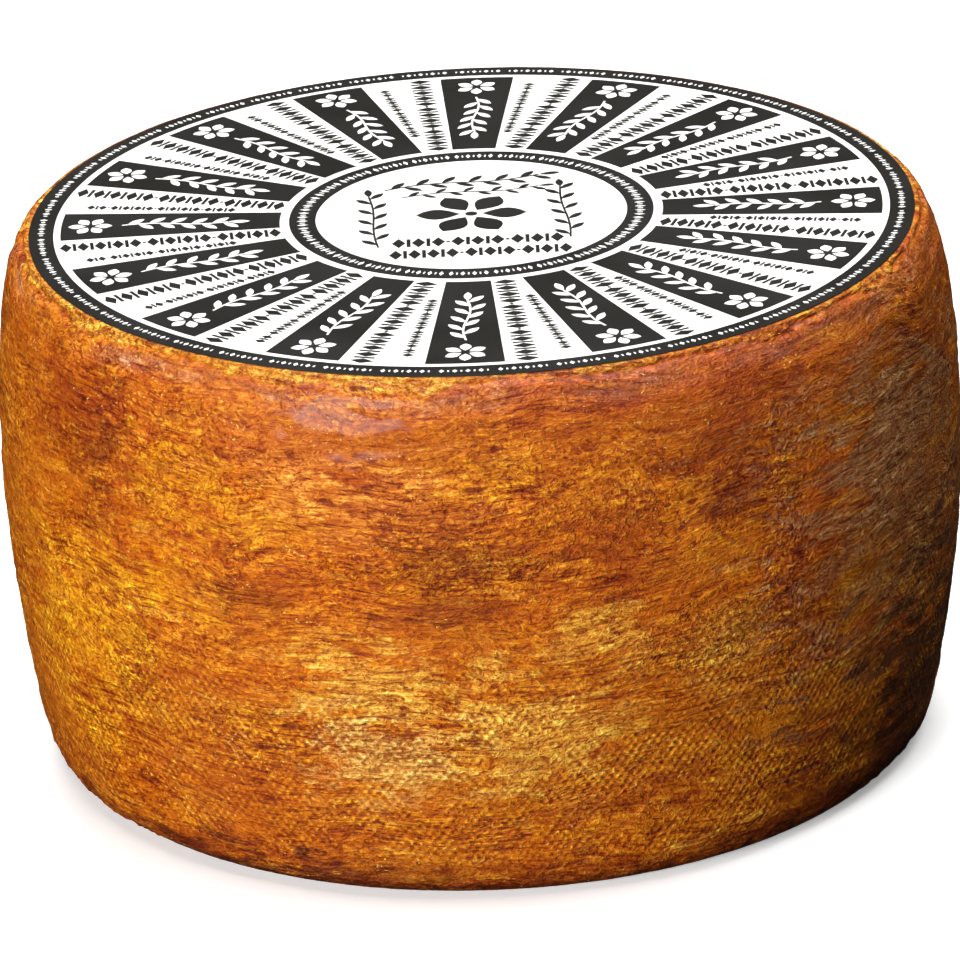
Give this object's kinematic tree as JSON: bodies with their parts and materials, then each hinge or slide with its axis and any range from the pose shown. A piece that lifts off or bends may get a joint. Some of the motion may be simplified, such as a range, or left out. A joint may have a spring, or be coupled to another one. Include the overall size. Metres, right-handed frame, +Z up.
{
  "type": "cheese wheel",
  "caption": "Upright round wheel of washed-rind mountain cheese with gently bulging sides, a rounded upper shoulder, a flat base and a round paper label lying on its flat top.",
  "frame": {"origin": "middle of the flat base, on the surface that the wheel rests on", "axes": "+Z up along the wheel's axis, X and Y across it"},
  "size_m": [0.2532, 0.2532, 0.1416],
  "materials": {
    "rind": "moist, semi-gloss ochre and rust rind with a cloth imprint and fine wash marks round the side",
    "label_paper": null
  },
  "bodies": {
    "root": {"cheese_wheel": "rind", "paper_label": "label_paper"}
  },
  "joints": []
}
